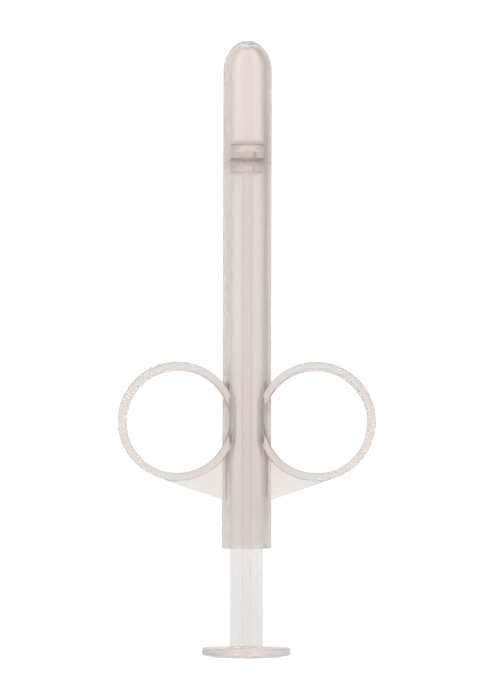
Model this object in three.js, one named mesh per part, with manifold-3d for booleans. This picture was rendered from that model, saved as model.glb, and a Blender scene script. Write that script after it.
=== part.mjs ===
// A needleless finger-ring plunger applicator, all moulded plastic, standing on its thumb disc.
// Units are millimetres. +Z runs from the thumb disc up to the nose, X runs across the two finger
// rings, and the origin is the middle of the disc's underside.

import * as THREE from 'three';
import { mergeVertices } from 'three/addons/utils/BufferGeometryUtils.js';
import Module from 'manifold-3d';

const wasm = await Module();
wasm.setup();

// ---- Driving dimensions ---------------------------------------------------------------------

// Thumb disc and plunger rod, one moulding
const DISC_DIAMETER = 22.6;
const DISC_RIM_THICKNESS = 1.9;
const DISC_FLAT_DIAMETER = 12;      // the flat middle of the underside, which it stands on
const DISC_UNDERSIDE_RISE = 0.6;    // from that flat up to the rim's lower edge
const DISC_TOP_RISE = 0.3;          // from the rim's upper edge up to the rod
const DISC_EDGE_RADIUS = 0.45;
const BLADE_THICKNESS = 2.1;        // the rod is a cross of two such blades
const SPIGOT_DIAMETER = 2.8;        // the round peg that carries the piston
const SPIGOT_LENGTH = 5.2;
const SPIGOT_HEAD_PROUD = 0.25;     // the swollen end that the piston snaps over, on the radius
const SPIGOT_HEAD_LENGTH = 1.6;

// Piston and its seal
const PISTON_LENGTH = 8.4;
const PISTON_DOME_HEIGHT = 1.5;
const SEAL_HEIGHT = 1.05;
const SEAL_THICKNESS = 0.9;
const SEAL_ABOVE_PISTON_BASE = 2.25;

// Barrel and nose cap
const BORE_DIAMETER = 9;
const TUBE_WALL = 1.75;
const BARREL_LENGTH = 98.9;         // open lower end to the seam with the nose cap
const BARREL_END_RADIUS = 0.7;
const CAP_LENGTH = 31.8;            // seam to the top of the dome
const DOME_HEIGHT = 7.8;
const ORIFICE_DIAMETER = 2.2;
const TONGUE_LENGTH = 1.2;          // the cap's tongue, bonded into a rebate in the barrel's end
const REBATE_WALL = 0.8;            // what is left of the barrel's wall outside that tongue
const COLLAR_PROUD = 0.1;           // the slightly thicker stretch below the webs
const COLLAR_BELOW_WEBS = 0.4;
const COLLAR_TAPER_LENGTH = 0.5;
const WITNESS_ABOVE_RINGS = 5.3;    // a faint raised line left by the mould
const WITNESS_HEIGHT = 0.8;
const WITNESS_PROUD = 0.06;

// Finger rings and the webs under them
const RING_INNER_DIAMETER = 26.4;
const RING_WALL = 1.95;
const RING_DEPTH = 10.4;
const RING_EDGE_RADIUS = 0.4;
const RING_INTO_TUBE = 1.75;        // how far the tube bulges into each finger hole
const RING_ABOVE_END = 32.45;       // barrel's lower end to the ring centres
const WEB_THICKNESS = 1.6;
const WEB_SLOPE_DEG = 19.4;         // its lower edge against the horizontal

// How the plunger stands in the barrel
const HOME_GAP = 5.4;               // disc top to the barrel's end when the plunger is home
const REST_STROKE = 19.5;           // how far it stands back from home at rest

// Fits: a gap on each side
const ROD_CLEARANCE = 0.3;          // blade tips to bore
const PISTON_CLEARANCE = 0.1;       // piston to bore, on the radius
const SEAL_CLEARANCE = 0.03;        // seal to bore, on the radius
const GROOVE_CLEARANCE = 0.03;      // seal to its groove, all round
const SOCKET_CLEARANCE = 0.08;      // piston socket to spigot, on the radius and the end
const SHOULDER_CLEARANCE = 0.1;     // piston base to the rod's shoulder
const TONGUE_CLEARANCE = 0.05;      // tongue to rebate, on the radius
const SEAM_GAP = 0.05;              // cap's shoulder and tongue to the barrel, along the tube

// Facets
const TUBE_SEGMENTS = 60;
const RING_SEGMENTS = 64;
const DOME_STEPS = 8;
const EDGE_STEPS = 2;

// ---- Places worked out from them ------------------------------------------------------------

const BORE_RADIUS = BORE_DIAMETER / 2;
const TUBE_RADIUS = BORE_RADIUS + TUBE_WALL;
const COLLAR_RADIUS = TUBE_RADIUS + COLLAR_PROUD;
const REBATE_RADIUS = TUBE_RADIUS - REBATE_WALL;
const DISC_RADIUS = DISC_DIAMETER / 2;
const DISC_RIM_TOP_Z = DISC_UNDERSIDE_RISE + DISC_RIM_THICKNESS;
const DISC_TOP_Z = DISC_RIM_TOP_Z + DISC_TOP_RISE;

const BARREL_END_Z = DISC_TOP_Z + HOME_GAP + REST_STROKE;
const SEAM_Z = BARREL_END_Z + BARREL_LENGTH;
const REBATE_Z = SEAM_Z - TONGUE_LENGTH;
const CAP_DOME_Z = SEAM_Z + CAP_LENGTH - DOME_HEIGHT;

// Home is where the piston's dome starts level with the dome inside the nose
const PISTON_DOME_Z = CAP_DOME_Z - REST_STROKE;
const PISTON_BASE_Z = PISTON_DOME_Z + PISTON_DOME_HEIGHT - PISTON_LENGTH;
const SEAL_GROOVE_Z = PISTON_BASE_Z + SEAL_ABOVE_PISTON_BASE;
const ROD_RADIUS = BORE_RADIUS - ROD_CLEARANCE;
const ROD_SHOULDER_Z = PISTON_BASE_Z - SHOULDER_CLEARANCE;
const SPIGOT_RADIUS = SPIGOT_DIAMETER / 2;
const SPIGOT_TOP_Z = ROD_SHOULDER_Z + SPIGOT_LENGTH;
const SPIGOT_HEAD_Z = SPIGOT_TOP_Z - SPIGOT_HEAD_LENGTH;

const RING_INNER_RADIUS = RING_INNER_DIAMETER / 2;
const RING_OUTER_RADIUS = RING_INNER_RADIUS + RING_WALL;
const RING_CENTRE_X = TUBE_RADIUS + RING_INNER_RADIUS - RING_INTO_TUBE;
const RING_CENTRE_Z = BARREL_END_Z + RING_ABOVE_END;
const WITNESS_Z = RING_CENTRE_Z + RING_OUTER_RADIUS + WITNESS_ABOVE_RINGS;

// The webs' lower edges are tangents of the rings
const WEB_SLOPE = THREE.MathUtils.degToRad(WEB_SLOPE_DEG);
const WEB_TOUCH_X = RING_CENTRE_X + RING_OUTER_RADIUS * Math.sin(WEB_SLOPE);
const WEB_TOUCH_Z = RING_CENTRE_Z - RING_OUTER_RADIUS * Math.cos(WEB_SLOPE);

// ---- Geometry helpers -----------------------------------------------------------------------

// Points along a quarter of an ellipse about (r, z), from one angle to another in degrees
function arc(r, z, radiusR, radiusZ, fromDeg, toDeg, steps) {
  const points = [];
  for (let step = 0; step <= steps; step += 1) {
    const angle = THREE.MathUtils.degToRad(fromDeg + (toDeg - fromDeg) * step / steps);
    points.push([r + radiusR * Math.cos(angle), z + radiusZ * Math.sin(angle)]);
  }
  return points;
}

// A profile of [radius, z] pairs turned about +Z. It runs upwards on the outside.
function turned(profile, segments = TUBE_SEGMENTS) {
  const points = profile.map(([r, z]) => new THREE.Vector2(Math.max(r, 0), z));
  return new THREE.LatheGeometry(points, segments).rotateX(Math.PI / 2);
}

// The same for a hollow ring or tube, whose profile closes on itself
function turnedLoop(profile, segments = TUBE_SEGMENTS) {
  return turned([...profile, profile[0]], segments);
}

function toSolid(geometry) {
  const bare = geometry.clone();
  bare.deleteAttribute('normal');
  bare.deleteAttribute('uv');
  const merged = mergeVertices(bare);
  return new wasm.Manifold(new wasm.Mesh({
    numProp: 3,
    vertProperties: merged.attributes.position.array,
    triVerts: new Uint32Array(merged.index.array),
  }));
}

function toGeometry(solid) {
  const mesh = solid.getMesh();
  const geometry = new THREE.BufferGeometry();
  geometry.setAttribute('position', new THREE.BufferAttribute(mesh.vertProperties, 3));
  geometry.setIndex(new THREE.BufferAttribute(mesh.triVerts, 1));
  geometry.computeVertexNormals();
  return geometry;
}

function plastic(color, roughness) {
  return new THREE.MeshStandardMaterial({ color, roughness, metalness: 0 });
}

function namedMesh(name, geometry, material) {
  const mesh = new THREE.Mesh(geometry, material);
  mesh.name = name;
  return mesh;
}

const CLEAR_PLASTIC = plastic(0xe4dcd8, 0.25);
const ROD_PLASTIC = plastic(0xece8e5, 0.3);
const PISTON_PLASTIC = plastic(0xd9d2ce, 0.35);
const SEAL_RUBBER = plastic(0xb3a19b, 0.6);

// ---- Plunger: thumb disc, cruciform rod and spigot in one piece -------------------------------

function discProfile() {
  const edge = Math.min(DISC_EDGE_RADIUS, DISC_RIM_THICKNESS / 2.2);
  const edgeR = DISC_RADIUS - edge;
  return [
    [0, 0],
    [DISC_FLAT_DIAMETER / 2, 0],
    ...arc(edgeR, DISC_UNDERSIDE_RISE + edge, edge, edge, -80, 0, EDGE_STEPS),
    ...arc(edgeR, DISC_RIM_TOP_Z - edge, edge, edge, 0, 85, EDGE_STEPS),
    [ROD_RADIUS, DISC_TOP_Z],
    [0, DISC_TOP_Z],
  ];
}

function bladeOutline() {
  const tip = ROD_RADIUS;
  const side = BLADE_THICKNESS / 2;
  const corners = [
    [tip, side], [side, side], [side, tip], [-side, tip], [-side, side], [-tip, side],
    [-tip, -side], [-side, -side], [-side, -tip], [side, -tip], [side, -side], [tip, -side],
  ];
  return new THREE.Shape(corners.map(([x, y]) => new THREE.Vector2(x, y)));
}

function spigotProfile() {
  const foot = ROD_SHOULDER_Z - BLADE_THICKNESS / 2;   // it starts inside the blades
  return [
    [0, foot],
    [SPIGOT_RADIUS, foot],
    [SPIGOT_RADIUS, SPIGOT_HEAD_Z],
    [SPIGOT_RADIUS + SPIGOT_HEAD_PROUD, SPIGOT_HEAD_Z + SPIGOT_HEAD_LENGTH / 2],
    [SPIGOT_RADIUS, SPIGOT_TOP_Z],
    [0, SPIGOT_TOP_Z],
  ];
}

function makePlunger() {
  const disc = toSolid(turned(discProfile()));
  const rodFoot = DISC_TOP_Z - DISC_RIM_THICKNESS / 2;
  const blades = new THREE.ExtrudeGeometry(bladeOutline(), {
    depth: ROD_SHOULDER_Z - rodFoot,
    bevelEnabled: false,
  }).translate(0, 0, rodFoot);
  const spigot = toSolid(turned(spigotProfile(), TUBE_SEGMENTS / 2));
  return toGeometry(disc.add(toSolid(blades)).add(spigot));
}

// ---- Piston: a domed soft head that snaps over the spigot, with a groove for the seal ---------

function makePiston() {
  const radius = BORE_RADIUS - PISTON_CLEARANCE;
  const grooveRadius = BORE_RADIUS - SEAL_CLEARANCE - SEAL_THICKNESS - GROOVE_CLEARANCE;
  const grooveTop = SEAL_GROOVE_Z + SEAL_HEIGHT + 2 * GROOVE_CLEARANCE;
  const socketRadius = SPIGOT_RADIUS + SOCKET_CLEARANCE;
  const socketTop = SPIGOT_TOP_Z + SOCKET_CLEARANCE;
  return turnedLoop([
    [socketRadius, PISTON_BASE_Z],
    [radius, PISTON_BASE_Z],
    [radius, SEAL_GROOVE_Z],
    [grooveRadius, SEAL_GROOVE_Z],
    [grooveRadius, grooveTop],
    [radius, grooveTop],
    ...arc(0, PISTON_DOME_Z, radius, PISTON_DOME_HEIGHT, 0, 90, DOME_STEPS),
    [0, socketTop],
    [socketRadius, socketTop],
    [socketRadius + SPIGOT_HEAD_PROUD, SPIGOT_HEAD_Z + SPIGOT_HEAD_LENGTH / 2],
    [socketRadius, SPIGOT_HEAD_Z],
  ]);
}

function makeSealRing() {
  const outer = BORE_RADIUS - SEAL_CLEARANCE;
  const inner = outer - SEAL_THICKNESS;
  const base = SEAL_GROOVE_Z + GROOVE_CLEARANCE;
  const top = base + SEAL_HEIGHT;
  return turnedLoop([[inner, base], [outer, base], [outer, top], [inner, top]]);
}

// ---- Barrel: tube, finger rings and webs in one moulding --------------------------------------

// The barrel's outside as a filled solid, which the bore is cut from at the end
function barrelOutsideProfile() {
  const edge = Math.min(BARREL_END_RADIUS, TUBE_WALL / 2);
  const webFootZ = WEB_TOUCH_Z - (WEB_TOUCH_X - TUBE_RADIUS) * Math.tan(WEB_SLOPE);
  const collarTop = webFootZ - COLLAR_BELOW_WEBS;
  return [
    [0, BARREL_END_Z],
    ...arc(COLLAR_RADIUS - edge, BARREL_END_Z + edge, edge, edge, -90, 0, EDGE_STEPS),
    [COLLAR_RADIUS, collarTop - COLLAR_TAPER_LENGTH],
    [TUBE_RADIUS, collarTop],
    [TUBE_RADIUS, WITNESS_Z - WITNESS_HEIGHT / 2],
    [TUBE_RADIUS + WITNESS_PROUD, WITNESS_Z],
    [TUBE_RADIUS, WITNESS_Z + WITNESS_HEIGHT / 2],
    [TUBE_RADIUS, SEAM_Z],
    [REBATE_RADIUS, SEAM_Z],
    [REBATE_RADIUS, REBATE_Z],
    [0, REBATE_Z],
  ];
}

// A straight cylinder along Z that is longer than what it cuts
function boreCutter() {
  const overrun = BORE_DIAMETER;
  const length = BARREL_LENGTH + 2 * overrun;
  const foot = BARREL_END_Z - overrun;
  return turned([[0, foot], [BORE_RADIUS, foot], [BORE_RADIUS, foot + length], [0, foot + length]]);
}

// One hoop about the Y axis through its own centre
function fingerHoop() {
  const half = RING_DEPTH / 2;
  const edge = Math.min(RING_EDGE_RADIUS, RING_WALL / 2.5);
  const near = RING_INNER_RADIUS + edge;
  const far = RING_OUTER_RADIUS - edge;
  const profile = [
    ...arc(far, -half + edge, edge, edge, -90, 0, EDGE_STEPS),
    ...arc(far, half - edge, edge, edge, 0, 90, EDGE_STEPS),
    ...arc(near, half - edge, edge, edge, 90, 180, EDGE_STEPS),
    ...arc(near, -half + edge, edge, edge, 180, 270, EDGE_STEPS),
  ];
  return turnedLoop(profile, RING_SEGMENTS).rotateX(Math.PI / 2);
}

// The thin plate between a hoop's underside and the barrel
function webOutline(side) {
  const footZ = WEB_TOUCH_Z - (WEB_TOUCH_X - BORE_RADIUS) * Math.tan(WEB_SLOPE);
  const corners = [
    [WEB_TOUCH_X, WEB_TOUCH_Z],
    [BORE_RADIUS, footZ],
    [BORE_RADIUS, RING_CENTRE_Z],
    [RING_CENTRE_X, RING_CENTRE_Z],
  ];
  return new THREE.Shape(corners.map(([x, z]) => new THREE.Vector2(side * x, z)));
}

// What must stay open inside a hoop, a little wider than the hole so that the web ends in the wall
function fingerHoleCutter() {
  const radius = RING_INNER_RADIUS + RING_WALL / 3;
  return new THREE.CylinderGeometry(radius, radius, RING_DEPTH, RING_SEGMENTS);
}

function makeWeb(side) {
  const plate = new THREE.ExtrudeGeometry(webOutline(side), {
    depth: WEB_THICKNESS,
    bevelEnabled: false,
  }).translate(0, 0, -WEB_THICKNESS / 2).rotateX(Math.PI / 2);
  const hole = fingerHoleCutter().translate(side * RING_CENTRE_X, 0, RING_CENTRE_Z);
  return toSolid(plate).subtract(toSolid(hole));
}

function makeBarrel() {
  let solid = toSolid(turned(barrelOutsideProfile()));
  for (const side of [-1, 1]) {
    const hoop = fingerHoop().translate(side * RING_CENTRE_X, 0, RING_CENTRE_Z);
    solid = solid.add(toSolid(hoop)).add(makeWeb(side));
  }
  return toGeometry(solid.subtract(toSolid(boreCutter())));
}

// ---- Nose cap: domed shell with a tongue bonded into the barrel --------------------------------

function makeNoseCap() {
  const tongueRadius = REBATE_RADIUS - TONGUE_CLEARANCE;
  const foot = REBATE_Z + SEAM_GAP;
  const shoulder = SEAM_Z + SEAM_GAP;
  const insideHeight = DOME_HEIGHT - TUBE_WALL;
  const orificeRadius = ORIFICE_DIAMETER / 2;
  const outerEnd = THREE.MathUtils.radToDeg(Math.acos(orificeRadius / TUBE_RADIUS));
  const innerEnd = THREE.MathUtils.radToDeg(Math.acos(orificeRadius / BORE_RADIUS));
  return turnedLoop([
    [BORE_RADIUS, foot],
    [tongueRadius, foot],
    [tongueRadius, shoulder],
    [TUBE_RADIUS, shoulder],
    ...arc(0, CAP_DOME_Z, TUBE_RADIUS, DOME_HEIGHT, 0, outerEnd, DOME_STEPS),
    ...arc(0, CAP_DOME_Z, BORE_RADIUS, insideHeight, innerEnd, 0, DOME_STEPS),
  ]);
}

// ---- Assembly ---------------------------------------------------------------------------------

const plunger = new THREE.Group();
plunger.add(namedMesh('plunger_rod', makePlunger(), ROD_PLASTIC));

const pistonHead = new THREE.Group();
pistonHead.add(namedMesh('piston', makePiston(), PISTON_PLASTIC));
pistonHead.add(namedMesh('seal_ring', makeSealRing(), SEAL_RUBBER));
plunger.add(pistonHead);

const body = new THREE.Group();
body.add(namedMesh('barrel', makeBarrel(), CLEAR_PLASTIC));
body.add(namedMesh('nose_cap', makeNoseCap(), CLEAR_PLASTIC));

const group = new THREE.Group();
group.add(plunger, body);

export default group;
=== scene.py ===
"""A needleless finger-ring plunger applicator in clear and natural moulded plastic.

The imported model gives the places; every visible piece is built here at full smoothness, because clear
plastic shows each facet. Lengths in the classes are millimetres, and meshes are built in metres.
"""

import logging
import math
from dataclasses import dataclass
from enum import Enum
from typing import Sequence

import bmesh
import bpy
from mathutils import Matrix, Vector

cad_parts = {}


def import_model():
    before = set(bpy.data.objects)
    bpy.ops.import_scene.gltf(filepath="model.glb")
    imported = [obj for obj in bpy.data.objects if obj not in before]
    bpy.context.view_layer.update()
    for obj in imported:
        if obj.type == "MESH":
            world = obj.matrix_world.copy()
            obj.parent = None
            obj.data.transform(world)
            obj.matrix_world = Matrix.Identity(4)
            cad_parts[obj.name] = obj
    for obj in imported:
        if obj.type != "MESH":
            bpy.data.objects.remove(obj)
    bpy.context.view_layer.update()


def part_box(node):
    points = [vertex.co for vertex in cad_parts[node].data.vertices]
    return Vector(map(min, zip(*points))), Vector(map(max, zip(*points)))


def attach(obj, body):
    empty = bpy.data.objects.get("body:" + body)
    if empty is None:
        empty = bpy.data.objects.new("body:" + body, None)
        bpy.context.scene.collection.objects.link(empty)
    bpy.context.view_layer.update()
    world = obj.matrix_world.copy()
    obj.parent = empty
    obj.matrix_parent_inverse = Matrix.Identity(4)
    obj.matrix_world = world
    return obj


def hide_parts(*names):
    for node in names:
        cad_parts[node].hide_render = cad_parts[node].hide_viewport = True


LOG = logging.getLogger("applicator")
MM = 0.001

CRISP_EDGE_DEG = 35.0        # edges sharper than this are kept crisp
FLAT_FACE_WEIGHT = 100       # large faces lead the shading, so that flats stay flat beside rounded edges
ON_AXIS = 1e-6               # a radius this small is a point on the axis
ROUND_BEVEL = 0.5            # the bevel shape that makes a true quarter round
DENSITY_MARGIN = 1.02        # keeps every channel of the absorption colour above 0

Profile = list[tuple[float, float]]


# ---- Small helpers --------------------------------------------------------------------------


class Boolean(Enum):
    """How one solid is combined with another."""

    JOIN = "UNION"
    CUT = "DIFFERENCE"


class Side(Enum):
    """Which finger ring, by the sign of its place along X."""

    LEFT = -1
    RIGHT = 1


def linear(hex_colour: str) -> tuple[float, float, float, float]:
    """Turns an sRGB hex colour into linear RGBA.

    Args:
        hex_colour: six hex digits with a leading hash.

    Returns:
        Red, green, blue and an alpha of 1, linear.
    """
    channels = [int(hex_colour[i:i + 2], 16) / 255 for i in (1, 3, 5)]
    return (*(c / 12.92 if c <= 0.04045 else ((c + 0.055) / 1.055) ** 2.4 for c in channels), 1.0)


def add_node(tree: bpy.types.NodeTree, kind: str, inputs: dict | None = None, **settings) -> bpy.types.Node:
    """Adds a shader node with its settings and links.

    Args:
        tree: the node tree.
        kind: the node's type name without its "ShaderNode" prefix.
        inputs: input name or number to the socket that feeds it, or to its value.
        **settings: the node's own properties.

    Returns:
        The new node.
    """
    node = tree.nodes.new("ShaderNode" + kind)
    for name, value in settings.items():
        setattr(node, name, value)
    for key, value in (inputs or {}).items():
        if isinstance(value, bpy.types.NodeSocket):
            tree.links.new(value, node.inputs[key])
        else:
            node.inputs[key].default_value = value
    return node


def arc(r: float, z: float, size_r: float, size_z: float, start: float, end: float, steps: int) -> Profile:
    """Makes points along an elliptical arc.

    Args:
        r: the arc's centre, across.
        z: the arc's centre, up.
        size_r: its radius across.
        size_z: its radius up.
        start: the first angle, in degrees from across towards up.
        end: the last angle.
        steps: how many stretches it is cut into.

    Returns:
        The points, from start to end.
    """
    turns = (math.radians(start + (end - start) * i / steps) for i in range(steps + 1))
    return [(r + size_r * math.cos(a), z + size_z * math.sin(a)) for a in turns]


def subdivided(profile: Profile, longest: float) -> Profile:
    """Splits long straight stretches of a profile, so that faces stay near square.

    Args:
        profile: points in mm.
        longest: the longest stretch allowed, in mm.

    Returns:
        The profile with more points on its long stretches.
    """
    dense: Profile = [profile[0]]
    for (r0, z0), (r1, z1) in zip(profile, profile[1:]):
        count = max(1, math.ceil(math.hypot(r1 - r0, z1 - z0) / longest))
        dense += [(r0 + (r1 - r0) * i / count, z0 + (z1 - z0) * i / count) for i in range(1, count + 1)]
    return dense


def revolved(profile: Profile, segments: int, closed: bool = False) -> bmesh.types.BMesh:
    """Turns a profile about Z into a closed mesh.

    Args:
        profile: (radius, z) in mm, upwards on the outside; it starts and ends on the axis unless closed.
        segments: steps round the axis.
        closed: the profile's end joins its start, as on a ring.

    Returns:
        A bmesh in metres.
    """
    mesh = bmesh.new()
    rows: list[list[bmesh.types.BMVert]] = []
    for r, z in profile:
        if r < ON_AXIS:
            rows.append([mesh.verts.new((0, 0, z * MM))] * segments)
            continue
        turns = (2 * math.pi * step / segments for step in range(segments))
        rows.append([mesh.verts.new((r * MM * math.cos(a), r * MM * math.sin(a), z * MM)) for a in turns])
    pairs = list(zip(rows, rows[1:])) + ([(rows[-1], rows[0])] if closed else [])
    for low, high in pairs:
        for step in range(segments):
            after = (step + 1) % segments
            corners = list(dict.fromkeys([low[step], low[after], high[after], high[step]]))
            if len(corners) > 2:
                mesh.faces.new(corners)
    return mesh


def extruded(outline: Sequence[tuple[float, float]], height: float) -> bmesh.types.BMesh:
    """Raises an outline to a closed prism.

    Args:
        outline: XY points in mm, anticlockwise.
        height: how far up it goes from z = 0, in mm.

    Returns:
        A bmesh in metres.
    """
    mesh = bmesh.new()
    low = [mesh.verts.new((x * MM, y * MM, 0)) for x, y in outline]
    high = [mesh.verts.new((x * MM, y * MM, height * MM)) for x, y in outline]
    mesh.faces.new(list(reversed(low)))
    mesh.faces.new(high)
    for i in range(len(outline)):
        j = (i + 1) % len(outline)
        mesh.faces.new([low[i], low[j], high[j], high[i]])
    return mesh


def as_object(mesh: bmesh.types.BMesh, name: str, place: Matrix | None = None) -> bpy.types.Object:
    """Puts a bmesh into the scene as an object.

    Args:
        mesh: the bmesh, which is used up.
        name: the object's name.
        place: the matrix that its points are moved by, if any.

    Returns:
        The new object.
    """
    if place is not None:
        mesh.transform(place)
    data = bpy.data.meshes.new(name)
    mesh.to_mesh(data)
    mesh.free()
    obj = bpy.data.objects.new(name, data)
    bpy.context.scene.collection.objects.link(obj)
    return obj


def applied(obj: bpy.types.Object) -> None:
    """Turns an object's modifiers into its mesh."""
    graph = bpy.context.evaluated_depsgraph_get()
    result = bpy.data.meshes.new_from_object(obj.evaluated_get(graph))
    obj.modifiers.clear()
    obj.data = result


def combined(base: bpy.types.Object, other: bpy.types.Object, how: Boolean) -> bpy.types.Object:
    """Joins or cuts one object with another, which is then removed.

    Args:
        base: the object that stays.
        other: the object joined to it or cut from it.
        how: join or cut.

    Returns:
        base, with the result as its mesh.
    """
    modifier = base.modifiers.new("combine", "BOOLEAN")
    modifier.object = other
    modifier.operation = how.value
    modifier.solver = "EXACT"
    applied(base)
    bpy.data.objects.remove(other)
    return base


# ---- Finishes -------------------------------------------------------------------------------


@dataclass(frozen=True)
class MouldedPlastic:
    """Injection-moulded plastic that lets light through, dims it with depth and softens it with haze.

    Pattern sizes are in millimetres. The flow marks and the grain are drawn coarser than the real
    hair-fine ones, because those would not show. The milk is the share of light that the plastic
    spreads, and the clarity is the share of the rest that it lets through.
    """

    name: str
    tint: str
    streak_tint: str
    depth_tint: str
    depth_mm: float = 8.7
    ior: float = 1.49
    milk: float = 0.14
    clarity: float = 0.96
    roughness: float = 0.14
    roughness_spread: float = 0.04
    patch_mm: float = 4.0
    patch_detail: float = 2.0
    streak_mm: float = 1.4
    streak_length_mm: float = 24.0
    streak_detail: float = 3.0
    ripple_mm: float = 6.0
    ripple_height_mm: float = 0.012
    ripple_detail: float = 1.0
    grain_mm: float = 0.7
    grain_height_mm: float = 0.0008
    grain_detail: float = 3.0

    def absorption(self) -> tuple[tuple[float, float, float, float], float]:
        """Works out the colour and density that leave depth_tint of white light after depth_mm.

        Returns:
            The absorption node's colour and its density per metre.
        """
        rates = [-math.log(channel) / (self.depth_mm * MM) for channel in linear(self.depth_tint)[:3]]
        density = max(rates) * DENSITY_MARGIN
        return (*(1 - rate / density for rate in rates), 1.0), density

    def flow(self, tree: bpy.types.NodeTree, place: bpy.types.NodeSocket) -> bpy.types.NodeSocket:
        """Draws faint streaks along the piece, where the melt ran.

        Args:
            tree: the material's nodes.
            place: the point on the piece.

        Returns:
            The colour socket that varies between the two tints.
        """
        across, along = 1 / (self.streak_mm * MM), 1 / (self.streak_length_mm * MM)
        drawn_out = add_node(tree, "Mapping", {"Vector": place, "Scale": (across, across, along)})
        streaks = add_node(tree, "TexNoise", {
            "Vector": drawn_out.outputs["Vector"], "Scale": 1.0, "Detail": self.streak_detail,
        })
        return add_node(tree, "Mix", {
            "Factor": streaks.outputs["Fac"], "A": linear(self.tint), "B": linear(self.streak_tint),
        }, data_type="RGBA").outputs["Result"]

    def haze(self, tree: bpy.types.NodeTree, place: bpy.types.NodeSocket) -> bpy.types.NodeSocket:
        """Varies the roughness in soft patches, where the mould's polish differs.

        Args:
            tree: the material's nodes.
            place: the point on the piece.

        Returns:
            The roughness socket.
        """
        patches = add_node(tree, "TexNoise", {
            "Vector": place, "Scale": 1 / (self.patch_mm * MM), "Detail": self.patch_detail,
        })
        return add_node(tree, "MapRange", {
            "Value": patches.outputs["Fac"],
            "To Min": self.roughness - self.roughness_spread,
            "To Max": self.roughness + self.roughness_spread,
        }).outputs["Result"]

    def surface(self, tree: bpy.types.NodeTree, place: bpy.types.NodeSocket) -> bpy.types.NodeSocket:
        """Raises the long ripple of shrinkage and the fine grain of the mould.

        Args:
            tree: the material's nodes.
            place: the point on the piece.

        Returns:
            The normal socket.
        """
        grain = add_node(tree, "TexNoise", {
            "Vector": place, "Scale": 1 / (self.grain_mm * MM), "Detail": self.grain_detail,
        })
        fine = add_node(tree, "Bump", {"Height": grain.outputs["Fac"], "Distance": self.grain_height_mm * MM})
        ripple = add_node(tree, "TexNoise", {
            "Vector": place, "Scale": 1 / (self.ripple_mm * MM), "Detail": self.ripple_detail,
        })
        return add_node(tree, "Bump", {
            "Height": ripple.outputs["Fac"], "Distance": self.ripple_height_mm * MM,
            "Normal": fine.outputs["Normal"],
        }).outputs["Normal"]

    def build(self) -> bpy.types.Material:
        """Makes the material.

        Returns:
            The material, named after the plastic and how it was made.
        """
        material = bpy.data.materials.new(self.name)
        material.use_nodes = True
        tree = material.node_tree
        tree.nodes.clear()
        place = add_node(tree, "TexCoord").outputs["Object"]
        tint, normal = self.flow(tree, place), self.surface(tree, place)
        clear = add_node(tree, "BsdfPrincipled", {
            "IOR": self.ior,
            "Transmission Weight": self.clarity,
            "Base Color": tint,
            "Roughness": self.haze(tree, place),
            "Normal": normal,
        })
        milky = add_node(tree, "BsdfTranslucent", {"Color": tint, "Normal": normal})
        mixed = add_node(tree, "MixShader", {
            "Fac": self.milk, 1: clear.outputs["BSDF"], 2: milky.outputs["BSDF"],
        })
        colour, density = self.absorption()
        depth = add_node(tree, "VolumeAbsorption", {"Color": colour, "Density": density})
        add_node(tree, "OutputMaterial", {
            "Surface": mixed.outputs["Shader"], "Volume": depth.outputs["Volume"],
        })
        return material


# Polypropylene from a polished tool: clear enough to see the rod through, a little milky, and darker
# where the eye looks along the wall.
TUBE_PLASTIC = MouldedPlastic("clarified polypropylene, polish moulded", "#ffffff", "#fffefe", "#fbf5f1")

# The same polypropylene on the nose cap, a shade warmer and deeper: its walls look browner.
CAP_PLASTIC = MouldedPlastic("clarified polypropylene, polish moulded, deeper",
                             "#ffffff", "#fffefe", "#efe3dc")

# The same polypropylene where the tool is spark eroded: a softer, milkier face on the rings.
RING_PLASTIC = MouldedPlastic("clarified polypropylene, matt moulded", "#ffffff", "#fffefe", "#f9f4f1",
                              milk=0.3, roughness=0.18)

# Natural polypropylene, moulded: pale and clear, so that the blades stay lighter than the tube round them.
ROD_PLASTIC = MouldedPlastic("natural polypropylene, moulded", "#ffffff", "#fffefe", "#fdf9f6",
                             milk=0.04, clarity=0.99, roughness=0.15, streak_length_mm=40.0)

# The same where the tool is spark eroded: matt and milky, so that the disc shows one soft tone.
DISC_PLASTIC = MouldedPlastic("natural polypropylene, matt moulded", "#ffffff", "#fffefe", "#fbf6f3",
                              milk=0.18, roughness=0.22, streak_length_mm=4.0)

# Low-density polyethylene, moulded: waxy and pale, with soft reflections.
PISTON_PLASTIC = MouldedPlastic("low-density polyethylene, moulded", "#ffffff", "#fffefe", "#fefbf9",
                                ior=1.51, milk=0.02, clarity=1.0, roughness=0.15,
                                streak_mm=2.0, streak_length_mm=6.0)

# Silicone rubber, moulded: a brownish band through the wall, with a matt face.
SEAL_RUBBER = MouldedPlastic("silicone rubber, moulded", "#fff9f7", "#fdf2ee", "#f8e6df",
                             ior=1.43, milk=0.3, roughness=0.3, streak_mm=1.0, streak_length_mm=1.0)


def dressed(
    piece: bpy.types.Object, finish: MouldedPlastic, node: str, body: str,
) -> bpy.types.Object:
    """Smooths a finished piece, gives it its material and puts it in its node's place.

    Args:
        piece: the piece's object.
        finish: what it is moulded from.
        node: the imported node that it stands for.
        body: the body that it rides on.

    Returns:
        The piece.
    """
    piece.data.polygons.foreach_set("use_smooth", [True] * len(piece.data.polygons))
    piece.data.set_sharp_from_angle(angle=math.radians(CRISP_EDGE_DEG))
    level = piece.modifiers.new("level", "WEIGHTED_NORMAL")
    level.keep_sharp = True
    level.weight = FLAT_FACE_WEIGHT
    applied(piece)
    piece.data.materials.append(finish.build())
    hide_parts(node)
    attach(piece, body)
    return piece


# ---- Pieces ---------------------------------------------------------------------------------


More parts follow.
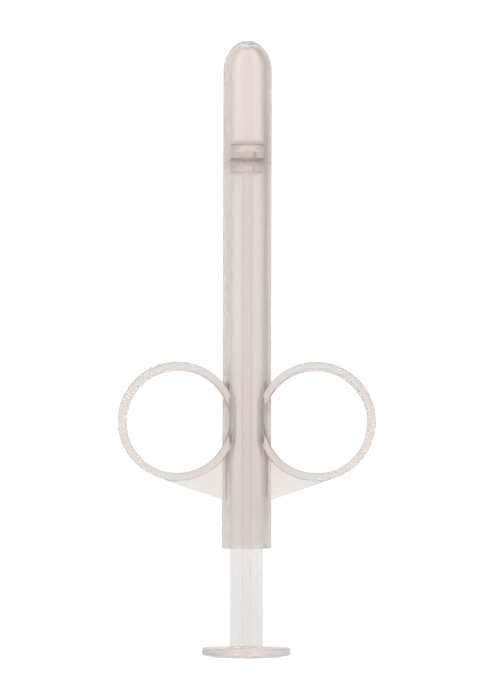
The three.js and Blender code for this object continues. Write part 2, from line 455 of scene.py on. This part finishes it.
@dataclass
class Barrel:
    """The tube with its finger rings, webs, witness line and collar, one moulding.

    The nose cap's bonded tongue is clear right through, so the tube is drawn filled there, and the bond
    shows only as the seam outside and a fine line in the bore.
    """

    bore: float = 4.5
    wall: float = 1.75
    rebate_depth: float = 1.2
    bond_line: float = 0.06
    end_radius: float = 0.7
    collar_proud: float = 0.1
    collar_top: float = 11.95
    collar_taper: float = 0.5
    ring_inner: float = 13.2
    ring_wall: float = 1.95
    ring_depth: float = 10.4
    ring_edge: float = 0.45
    ring_into_tube: float = 1.75
    ring_height: float = 32.45
    web_thickness: float = 1.6
    web_slope_deg: float = 19.4
    web_edge: float = 0.3
    web_edge_steps: int = 4
    web_from_hole: float = 0.65
    witness_height: float = 52.9
    witness_length: float = 0.8
    witness_proud: float = 0.06
    overrun: float = 9.0
    longest_face: float = 6.0
    same_face: float = 0.01
    facing: float = 0.5
    edge_steps: int = 8
    segments: int = 160
    ring_segments: int = 180

    def __post_init__(self) -> None:
        """Takes the tube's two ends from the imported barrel."""
        low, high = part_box("barrel")
        self.foot = low.z / MM
        self.seam = high.z / MM
        self.radius = self.bore + self.wall
        self.ring_x = self.radius + self.ring_inner - self.ring_into_tube
        self.ring_z = self.foot + self.ring_height

    def tube(self) -> bpy.types.Object:
        """Makes the filled outside of the tube.

        Returns:
            The solid, before the bore is cut.
        """
        collar = self.radius + self.collar_proud
        line = self.foot + self.witness_height
        profile = [
            (0.0, self.foot),
            *arc(collar - self.end_radius, self.foot + self.end_radius, self.end_radius, self.end_radius,
                 -90, 0, self.edge_steps),
            (collar, self.foot + self.collar_top - self.collar_taper),
            (self.radius, self.foot + self.collar_top),
            (self.radius, line - self.witness_length / 2),
            (self.radius + self.witness_proud, line),
            (self.radius, line + self.witness_length / 2),
            (self.radius, self.seam),
            (0.0, self.seam),
        ]
        return as_object(revolved(subdivided(profile, self.longest_face), self.segments), "barrel")

    def across(self, side: Side) -> Matrix:
        """Gives the place of one finger ring's centre, with its axis along Y."""
        centre = Matrix.Translation((side.value * self.ring_x * MM, 0, self.ring_z * MM))
        return centre @ Matrix.Rotation(math.pi / 2, 4, "X")

    def hoop(self, side: Side) -> bpy.types.Object:
        """Makes one finger ring.

        Args:
            side: which one.

        Returns:
            The hoop, with rounded edges.
        """
        half, edge = self.ring_depth / 2, self.ring_edge
        near, far = self.ring_inner + edge, self.ring_inner + self.ring_wall - edge
        profile = [
            *arc(far, -half + edge, edge, edge, -90, 0, self.edge_steps),
            *arc(far, half - edge, edge, edge, 0, 90, self.edge_steps),
            *arc(near, half - edge, edge, edge, 90, 180, self.edge_steps),
            *arc(near, -half + edge, edge, edge, 180, 270, self.edge_steps),
        ]
        return as_object(revolved(profile, self.ring_segments, closed=True), "hoop", self.across(side))

    def web(self, side: Side) -> bpy.types.Object:
        """Makes the thin plate under one ring, its lower edge tangent to the ring.

        Args:
            side: which ring's.

        Returns:
            The plate, cut clear of the finger hole.
        """
        slope = math.radians(self.web_slope_deg)
        outer = self.ring_inner + self.ring_wall
        touch = (self.ring_x + outer * math.sin(slope), self.ring_z - outer * math.cos(slope))
        foot = touch[1] - (touch[0] - self.bore) * math.tan(slope)
        outline = [touch, (self.ring_x, self.ring_z), (self.bore, self.ring_z), (self.bore, foot)]
        outline = [(side.value * x, z) for x, z in outline]
        if side is Side.LEFT:
            outline.reverse()
        mesh = extruded(outline, self.web_thickness)
        mesh.verts.ensure_lookup_table()
        last, count = len(outline) - 1, len(outline)
        lower = [mesh.edges.get((mesh.verts[i], mesh.verts[i + last])) for i in (0, count)]
        bmesh.ops.bevel(mesh, geom=lower, offset=self.web_edge * MM, segments=self.web_edge_steps,
                        profile=ROUND_BEVEL, affect="EDGES")
        front = Matrix.Translation((0, self.web_thickness / 2 * MM, 0)) @ Matrix.Rotation(math.pi / 2, 4, "X")
        plate = as_object(mesh, "web", front)
        cut, reach = self.ring_inner + self.web_from_hole, self.overrun
        hole = revolved([(0, -reach), (cut, -reach), (cut, reach), (0, reach)], self.ring_segments)
        return combined(plate, as_object(hole, "hole", self.across(side)), Boolean.CUT)

    def bore_core(self) -> bpy.types.Object:
        """Makes the core that the bore is cut with, with the bond's fine line round it.

        Returns:
            The core, longer than the tube at both ends.
        """
        low, high = self.foot - self.overrun, self.seam + self.overrun
        bond, line = self.seam - self.rebate_depth, self.bond_line
        profile = [
            (0, low),
            (self.bore, low),
            (self.bore, bond - line),
            (self.bore + line, bond),
            (self.bore, bond + line),
            (self.bore, high),
            (0, high),
        ]
        return as_object(revolved(subdivided(profile, self.longest_face), self.segments), "bore")

    def soften_rings(self, piece: bpy.types.Object) -> None:
        """Gives the rings' faces their softer finish, and leaves the tube and the webs' sides clear.

        Args:
            piece: the dressed barrel.
        """
        piece.data.materials.append(RING_PLASTIC.build())
        outside = (self.radius + self.collar_proud + self.witness_proud) * MM
        web_side = (self.web_thickness / 2 + self.same_face) * MM
        for face in piece.data.polygons:
            on_web = abs(face.normal.y) > self.facing and abs(face.center.y) < web_side
            face.material_index = int(face.center.xy.length > outside and not on_web)

    def build(self) -> bpy.types.Object:
        """Makes the barrel, rides it on its body and dresses it.

        Returns:
            The barrel.
        """
        piece = self.tube()
        for side in Side:
            combined(piece, self.hoop(side), Boolean.JOIN)
            combined(piece, self.web(side), Boolean.JOIN)
        combined(piece, self.bore_core(), Boolean.CUT)
        dressed(piece, TUBE_PLASTIC, "barrel", "barrel_body")
        self.soften_rings(piece)
        return piece


@dataclass
class NoseCap:
    """The domed shell with the outlet hole in its tip, from the seam up.

    Its tongue lies in the barrel's wall below the seam, where the clear bond hides it.
    """

    bore: float = 4.5
    wall: float = 1.75
    tongue_length: float = 1.2
    dome: float = 7.8
    orifice: float = 1.1
    longest_face: float = 6.0
    dome_steps: int = 28
    segments: int = 160

    def build(self) -> bpy.types.Object:
        """Makes the nose cap, rides it on its body and dresses it.

        Returns:
            The cap.
        """
        low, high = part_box("nose_cap")
        seam = low.z / MM + self.tongue_length
        radius = self.bore + self.wall
        end = math.degrees(math.acos(self.orifice / radius))
        inner_end = math.degrees(math.acos(self.orifice / self.bore))
        dome_z = high.z / MM - self.dome * math.sin(math.radians(end))
        profile = [
            (self.bore, seam),
            (radius, seam),
            *arc(0, dome_z, radius, self.dome, 0, end, self.dome_steps),
            *arc(0, dome_z, self.bore, self.dome - self.wall, inner_end, 0, self.dome_steps),
        ]
        shell = revolved(subdivided(profile, self.longest_face), self.segments, closed=True)
        return dressed(as_object(shell, "nose_cap"), CAP_PLASTIC, "nose_cap", "barrel_body")


@dataclass
class Plunger:
    """The cross-section rod with its thumb disc and the spigot that carries the piston."""

    disc: float = 11.3
    rim: float = 1.9
    flat: float = 6.0
    crown: float = 8.6
    crown_rise: float = 0.12
    underside_rise: float = 0.6
    top_rise: float = 0.3
    edge: float = 0.45
    lower_edge_deg: float = -80.0
    upper_edge_deg: float = 85.0
    rod: float = 4.2
    blade: float = 2.1
    blade_edge: float = 0.25
    spigot: float = 1.4
    spigot_length: float = 5.2
    spigot_head: float = 1.6
    spigot_proud: float = 0.25
    same_height: float = 0.001
    edge_steps: int = 6
    segments: int = 160
    spigot_segments: int = 64

    def disc_body(self) -> bpy.types.Object:
        """Makes the thumb disc, its underside crowned round a flat middle.

        Returns:
            The disc.
        """
        rim_top = self.underside_rise + self.rim
        centre = self.disc - self.edge
        profile = [
            (0.0, 0.0),
            (self.flat, 0.0),
            (self.crown, self.crown_rise),
            *arc(centre, self.underside_rise + self.edge, self.edge, self.edge,
                 self.lower_edge_deg, 0, self.edge_steps),
            *arc(centre, rim_top - self.edge, self.edge, self.edge, 0, self.upper_edge_deg, self.edge_steps),
            (self.rod, rim_top + self.top_rise),
            (0.0, rim_top + self.top_rise),
        ]
        return as_object(revolved(profile, self.segments), "plunger_rod")

    def blades(self, foot: float, top: float) -> bpy.types.Object:
        """Makes the cross of two blades, with softened tips and roots.

        Args:
            foot: its lower end, in mm.
            top: its upper end.

        Returns:
            The cross.
        """
        side, soft = self.blade / 2, self.blade_edge
        corner = arc(0, 0, soft, soft, 0, 90, self.edge_steps)
        quarter = [(self.rod - soft + x, side - soft + y) for x, y in corner]
        quarter += [(side + soft - x, side + soft - y) for x, y in reversed(corner)]
        quarter += [(side - soft + x, self.rod - soft + y) for x, y in corner]
        outline = []
        for turn in range(4):
            c, s = math.cos(turn * math.pi / 2), math.sin(turn * math.pi / 2)
            outline += [(x * c - y * s, x * s + y * c) for x, y in quarter]
        return as_object(extruded(outline, top - foot), "blades", Matrix.Translation((0, 0, foot * MM)))

    def peg(self, shoulder: float) -> bpy.types.Object:
        """Makes the round spigot with its swollen end.

        Args:
            shoulder: the top of the blades, in mm.

        Returns:
            The spigot, starting inside the blades.
        """
        top = shoulder + self.spigot_length
        head = top - self.spigot_head
        profile = [
            (0.0, shoulder - self.blade / 2),
            (self.spigot, shoulder - self.blade / 2),
            (self.spigot, head),
            (self.spigot + self.spigot_proud, head + self.spigot_head / 2),
            (self.spigot, top),
            (0.0, top),
        ]
        return as_object(revolved(profile, self.spigot_segments), "spigot")

    def build(self) -> bpy.types.Object:
        """Makes the plunger, rides it on its body and dresses it.

        Returns:
            The plunger rod.
        """
        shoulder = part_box("plunger_rod")[1].z / MM - self.spigot_length
        piece = self.disc_body()
        combined(piece, self.blades(self.rim / 2 + self.underside_rise, shoulder), Boolean.JOIN)
        combined(piece, self.peg(shoulder), Boolean.JOIN)
        dressed(piece, ROD_PLASTIC, "plunger_rod", "plunger")
        self.soften_disc(piece)
        return piece

    def soften_disc(self, piece: bpy.types.Object) -> None:
        """Gives the disc's faces their matt finish.

        Args:
            piece: the dressed plunger.
        """
        piece.data.materials.append(DISC_PLASTIC.build())
        disc_top = (self.underside_rise + self.rim + self.top_rise + self.same_height) * MM
        for face in piece.data.polygons:
            face.material_index = int(face.center.z <= disc_top)


@dataclass
class PistonHead:
    """The domed piston with its groove, and the seal ring in it."""

    radius: float = 4.4
    dome: float = 1.5
    groove: float = 3.54
    groove_height: float = 2.25
    seal_height: float = 1.05
    seal_gap: float = 0.03
    seal_outer: float = 4.47
    socket: float = 1.48
    socket_swell: float = 0.25
    socket_length: float = 5.18
    spigot_head: float = 1.6
    socket_clearance: float = 0.08
    dome_steps: int = 20
    segments: int = 128

    def piston(self, base: float, top: float) -> bpy.types.Object:
        """Makes the piston.

        Args:
            base: its lower face, in mm.
            top: the top of its dome.

        Returns:
            The piston, with its groove outside and its socket inside.
        """
        groove = base + self.groove_height
        groove_top = groove + self.seal_height + 2 * self.seal_gap
        socket_top = base + self.socket_length
        head = socket_top - self.socket_clearance - self.spigot_head
        profile = [
            (self.socket, base),
            (self.radius, base),
            (self.radius, groove),
            (self.groove, groove),
            (self.groove, groove_top),
            (self.radius, groove_top),
            *arc(0, top - self.dome, self.radius, self.dome, 0, 90, self.dome_steps),
            (0.0, socket_top),
            (self.socket, socket_top),
            (self.socket + self.socket_swell, head + self.spigot_head / 2),
            (self.socket, head),
        ]
        return as_object(revolved(profile, self.segments, closed=True), "piston")

    def seal(self, base: float) -> bpy.types.Object:
        """Makes the seal ring.

        Args:
            base: the piston's lower face, in mm.

        Returns:
            The ring, in the piston's groove.
        """
        low = base + self.groove_height + self.seal_gap
        high = low + self.seal_height
        inner, outer = self.groove + self.seal_gap, self.seal_outer
        profile = [(inner, low), (outer, low), (outer, high), (inner, high)]
        return as_object(revolved(profile, self.segments, closed=True), "seal_ring")

    def build(self) -> list[bpy.types.Object]:
        """Makes both pieces, rides them on their body and dresses them.

        Returns:
            The piston and the seal ring.
        """
        low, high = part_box("piston")
        base, top = low.z / MM, high.z / MM
        return [
            dressed(self.piston(base, top), PISTON_PLASTIC, "piston", "piston_head"),
            dressed(self.seal(base), SEAL_RUBBER, "seal_ring", "piston_head"),
        ]


# ---- Studio ---------------------------------------------------------------------------------


@dataclass
class Studio:
    """The floor, the soft light and the camera.

    The light is a warm white surround: a bright panel on each of four sides, with a dimmer strip down its
    middle, and greyer flags between. It is lifted in front of the object and lowered on its right. Clear
    plastic bends those into its bright bands and darker walls.
    """

    camera_place: tuple[float, float, float] = (0.0, -0.772, 0.033)
    camera_target: tuple[float, float, float] = (0.0, 0.0, 0.07853)
    roll_deg: float = 0.14
    lens: float = 155.1
    sensor: float = 36.0
    near_clip: float = 0.01
    light_tint: str = "#fffaf7"
    panel_level: float = 1.3
    strip_level: float = 0.36
    strip_edge: float = 0.9
    flag_level: float = 0.82
    right_flag: float = 0.4
    right_flag_edge: float = 0.25
    front_lift: float = 0.6
    background: float = 1.1
    light_bounces: int = 48
    floor_gap_mm: float = 0.2
    floor_thickness_mm: float = 2.0
    floor_radius_mm: float = 60000.0
    floor_segments: int = 64
    floor_glow: float = 0.8

    def surround(self, tree: bpy.types.NodeTree) -> bpy.types.NodeSocket:
        """Makes the brightness of the surround in each direction round the object.

        Args:
            tree: the world's nodes.

        Returns:
            The socket with the brightness.
        """
        place = add_node(tree, "TexCoord").outputs["Generated"]
        level_way = add_node(tree, "VectorMath", {0: place, 1: (1, 1, 0)}, operation="MULTIPLY")
        way = add_node(tree, "VectorMath", {0: level_way.outputs["Vector"]}, operation="NORMALIZE")
        parts = add_node(tree, "SeparateXYZ", {"Vector": way.outputs["Vector"]})
        x, y = parts.outputs["X"], parts.outputs["Y"]
        # cos(4a) = 1 - 8 x^2 y^2, for a direction (x, y) at azimuth a
        product = add_node(tree, "Math", {0: x, 1: y}, operation="MULTIPLY").outputs["Value"]
        square = add_node(tree, "Math", {0: product, 1: product}, operation="MULTIPLY").outputs["Value"]
        wave = add_node(tree, "Math", {0: square, 1: -8.0, 2: 1.0}, operation="MULTIPLY_ADD").outputs["Value"]
        panels = add_node(tree, "MapRange", {
            "Value": wave, "To Min": self.flag_level, "To Max": self.panel_level,
        }, interpolation_type="SMOOTHSTEP").outputs["Result"]
        strips = add_node(tree, "MapRange", {
            "Value": wave, "From Min": self.strip_edge, "To Min": 0.0, "To Max": self.strip_level,
        }, interpolation_type="SMOOTHSTEP").outputs["Result"]
        striped = add_node(tree, "Math", {0: panels, 1: strips}, operation="SUBTRACT").outputs["Value"]
        right = add_node(tree, "MapRange", {
            "Value": x, "From Min": self.right_flag_edge, "To Min": 0.0, "To Max": self.right_flag,
        }).outputs["Result"]
        flagged = add_node(tree, "Math", {0: striped, 1: right}, operation="SUBTRACT").outputs["Value"]
        front = add_node(tree, "Math", {0: y, 1: 0.0}, operation="MINIMUM").outputs["Value"]
        lifted = add_node(tree, "Math", {0: front, 1: -self.front_lift, 2: flagged}, operation="MULTIPLY_ADD")
        return lifted.outputs["Value"]

    def light(self) -> None:
        """Sets the world: what the plastic sees, and a plain white behind it all."""
        world = bpy.data.worlds.new("studio")
        bpy.context.scene.world = world
        world.use_nodes = True
        tree = world.node_tree
        tree.nodes.clear()
        around = add_node(tree, "Background", {
            "Color": linear(self.light_tint), "Strength": self.surround(tree),
        })
        behind = add_node(tree, "Background", {"Color": (1, 1, 1, 1), "Strength": self.background})
        shown = add_node(tree, "MixShader", {
            "Fac": add_node(tree, "LightPath").outputs["Is Camera Ray"],
            1: around.outputs["Background"], 2: behind.outputs["Background"],
        })
        add_node(tree, "OutputWorld", {"Surface": shown.outputs["Shader"]})

    def floor(self) -> None:
        """Lays the pale floor that the disc stands on."""
        low, radius = -self.floor_thickness_mm, self.floor_radius_mm
        disc = revolved([(0, low), (radius, low), (radius, 0), (0, 0)], self.floor_segments)
        floor = as_object(disc, "floor", Matrix.Translation((0, 0, -self.floor_gap_mm * MM)))
        material = bpy.data.materials.new("white sweep, painted")
        material.use_nodes = True
        tree = material.node_tree
        tree.nodes.clear()
        lit = add_node(tree, "Emission", {"Strength": self.floor_glow})
        white = add_node(tree, "Emission", {"Strength": self.background})
        shown = add_node(tree, "MixShader", {
            "Fac": add_node(tree, "LightPath").outputs["Is Camera Ray"],
            1: lit.outputs["Emission"], 2: white.outputs["Emission"],
        })
        add_node(tree, "OutputMaterial", {"Surface": shown.outputs["Shader"]})
        floor.data.materials.append(material)

    def camera(self) -> None:
        """Places the camera low in front, looking slightly up."""
        data = bpy.data.cameras.new("camera")
        data.lens = self.lens
        data.sensor_width = self.sensor
        data.clip_start = self.near_clip
        camera = bpy.data.objects.new("camera", data)
        bpy.context.scene.collection.objects.link(camera)
        aim = (Vector(self.camera_target) - Vector(self.camera_place)).to_track_quat("-Z", "Y")
        roll = Matrix.Rotation(math.radians(self.roll_deg), 4, "Z")
        camera.matrix_world = Matrix.Translation(self.camera_place) @ aim.to_matrix().to_4x4() @ roll
        bpy.context.scene.camera = camera

    def build(self) -> None:
        """Makes the whole studio."""
        scene = bpy.context.scene
        scene.view_settings.view_transform = "Standard"
        for limit in ("max_bounces", "transmission_bounces", "glossy_bounces", "diffuse_bounces"):
            setattr(scene.cycles, limit, self.light_bounces)
        self.light()
        self.floor()
        self.camera()


def main() -> None:
    """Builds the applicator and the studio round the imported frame."""
    logging.basicConfig(level=logging.INFO, format="%(name)s: %(message)s")
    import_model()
    Studio().build()
    for piece in (Barrel().build(), NoseCap().build(), Plunger().build(), *PistonHead().build()):
        LOG.info("%s: %d faces", piece.name, len(piece.data.polygons))


if __name__ == "__main__":
    main()
